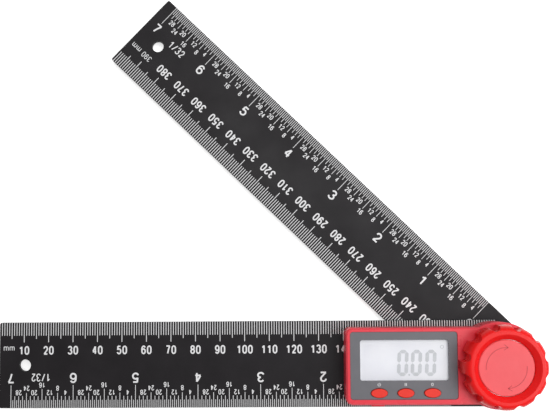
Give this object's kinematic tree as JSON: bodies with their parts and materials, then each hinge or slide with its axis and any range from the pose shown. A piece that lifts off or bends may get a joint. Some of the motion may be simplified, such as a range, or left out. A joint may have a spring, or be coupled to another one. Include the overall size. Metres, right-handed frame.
{
  "type": "digital angle finder",
  "caption": "Two graduated flat arms on a common pivot, with an angle display, push buttons, a scalloped lock knob and a round battery cover at the hub.",
  "frame": {"origin": "on the pivot axis, at the hub's back face", "axes": "+X from the fixed arm's tip towards the hub, +Z out of the display, +Y completes the frame"},
  "size_m": [0.2173, 0.1692, 0.0241],
  "materials": {
    "arm_plastic": "black filled plastic, fine satin grain",
    "washer_film": "thin white low-friction film",
    "housing_plastic": "moulded red, satin gloss",
    "screw_steel": "dark zinc plated steel",
    "panel_plastic": "mid grey, smooth satin",
    "window_lens": "clear polished lens",
    "display_glass": "pale reflective liquid crystal glass",
    "contact_rubber": "layered conductive silicone",
    "circuit_board": "green solder resist with copper pattern",
    "chip_resin": "black epoxy drop",
    "dome_steel": "pressed spring steel",
    "button_plastic": "orange-red moulded cap",
    "spindle_metal": "turned alloy",
    "cell_steel": "nickel plated can",
    "contact_brass": "plated spring sheet",
    "cap_plastic": "black filled plastic",
    "bearing_plastic": "natural acetal",
    "knob_plastic": "moulded red, satin gloss",
    "seal_rubber": "black nitrile",
    "cover_plastic": "pale red moulded cover",
    "scale_print": "white printed graduations"
  },
  "bodies": {
    "base": {"fixed_arm": "arm_plastic", "front_washer": "washer_film", "front_housing": "housing_plastic", "housing_screws": "screw_steel", "display_panel": "panel_plastic", "display_window": "window_lens", "lcd_glass": "display_glass", "zebra_strip": "contact_rubber", "main_pcb": "circuit_board", "chip_blob": "chip_resin", "key_domes": "dome_steel", "hub_spindle": "spindle_metal", "coin_cell": "cell_steel", "contact_plus": "contact_brass", "contact_minus": "contact_brass", "rear_cap": "cap_plastic", "rear_cap_screws": "screw_steel", "rear_washer": "washer_film", "knob_washer": "washer_film"},
    "swing": {"swing_arm": "arm_plastic", "rotor_sleeve": "bearing_plastic", "rotor_disc": "circuit_board"},
    "power_key": {"button_power": "button_plastic"},
    "hold_key": {"button_hold": "button_plastic"},
    "zero_key": {"button_zero": "button_plastic"},
    "knob": {"lock_knob": "knob_plastic"},
    "cover_carrier": {"cover_seal": "seal_rubber"},
    "cover": {"battery_cover": "cover_plastic"}
  },
  "joints": [
    {"name": "arm_swing", "type": "hinge", "parent": "base", "child": "swing", "pos_m": [0, 0, 0], "axis": [0, 0, 1], "continuous": true},
    {"name": "knob_turn", "type": "hinge", "parent": "base", "child": "knob", "pos_m": [0, 0, 0], "axis": [0, 0, 1], "range_deg": [0, 90]},
    {"name": "cover_lift", "type": "slide", "parent": "base", "child": "cover_carrier", "axis": [0, 0, 1], "range_m": [0, 0.012]},
    {"name": "cover_turn", "type": "hinge", "parent": "cover_carrier", "child": "cover", "pos_m": [0, 0, 0], "axis": [0, 0, 1], "range_deg": [0, 90]},
    {"name": "power_press", "type": "slide", "parent": "base", "child": "power_key", "axis": [0, 0, 1], "range_m": [-0.0004, 0], "stiffness_N_per_m": 1500},
    {"name": "hold_press", "type": "slide", "parent": "base", "child": "hold_key", "axis": [0, 0, 1], "range_m": [-0.0004, 0], "stiffness_N_per_m": 1500},
    {"name": "zero_press", "type": "slide", "parent": "base", "child": "zero_key", "axis": [0, 0, 1], "range_m": [-0.0004, 0], "stiffness_N_per_m": 1500}
  ]
}
